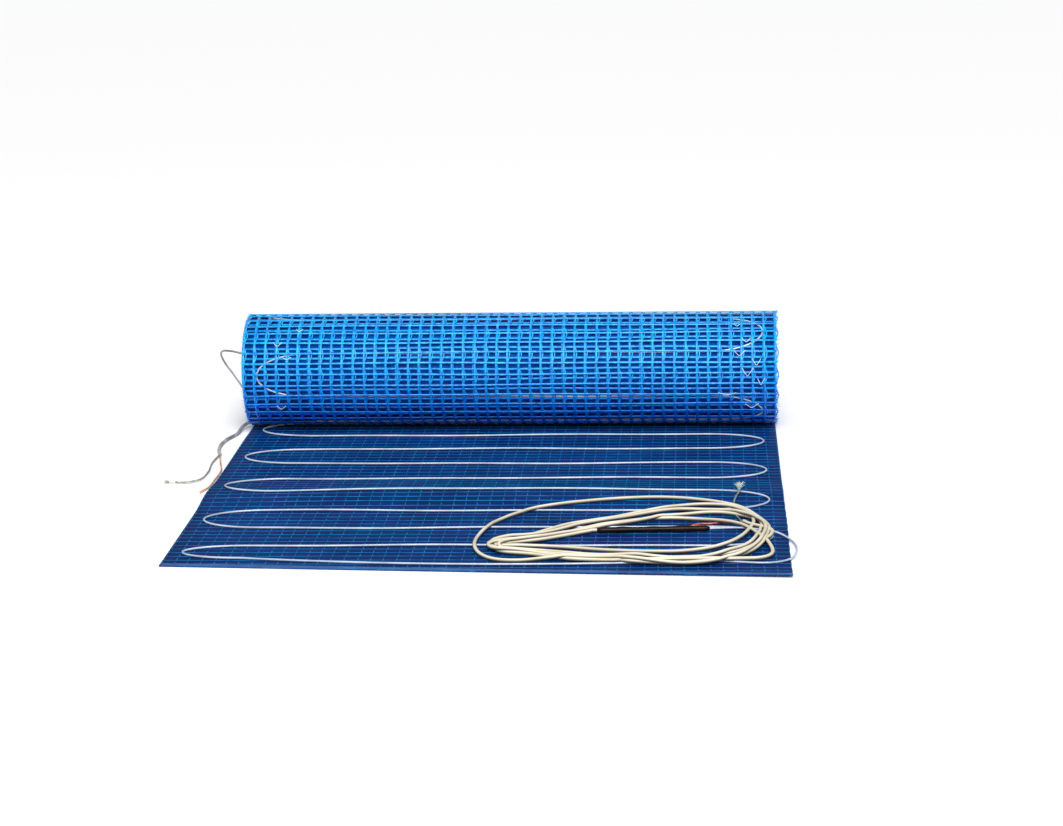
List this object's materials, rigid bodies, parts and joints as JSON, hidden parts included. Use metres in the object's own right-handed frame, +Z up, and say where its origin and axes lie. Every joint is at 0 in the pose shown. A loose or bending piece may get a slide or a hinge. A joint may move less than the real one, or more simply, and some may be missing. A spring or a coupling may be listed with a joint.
{
  "type": "underfloor heating mat",
  "caption": "Partly unrolled underfloor heating mat: glass-fibre mesh roll with heating cable in even loops, a splice, a loose coil of cold lead and stripped lead ends.",
  "frame": {"origin": "on the mat's flat underside, on its centre line, 100 mm in front of the roll's axis", "axes": "+X along the roll to the right as seen from the free end, +Y back from the free end to the roll, +Z up"},
  "size_m": [0.5307, 0.5292, 0.1047],
  "materials": {
    "mesh": "plastic-coated glass-fibre mesh, blue, satin",
    "cable": "thin white insulated heating cable, satin",
    "splice": "black heat-shrink sleeve, satin",
    "lead": "cream lead sheath, satin",
    "second_lead": "grey lead sheath, matt",
    "core": "red core insulation, satin",
    "braid": "tinned copper drain braid, dull"
  },
  "bodies": {
    "root": {"mesh_mat": "mesh", "heating_cable": "cable", "heating_cable_roll_loop": "cable", "splice_sleeve": "splice", "cold_lead": "lead", "cold_lead_coil": "lead", "cold_lead_core": "core", "cold_lead_braid": "braid", "second_lead": "second_lead", "second_lead_core": "core", "second_lead_braid": "braid"}
  },
  "joints": []
}
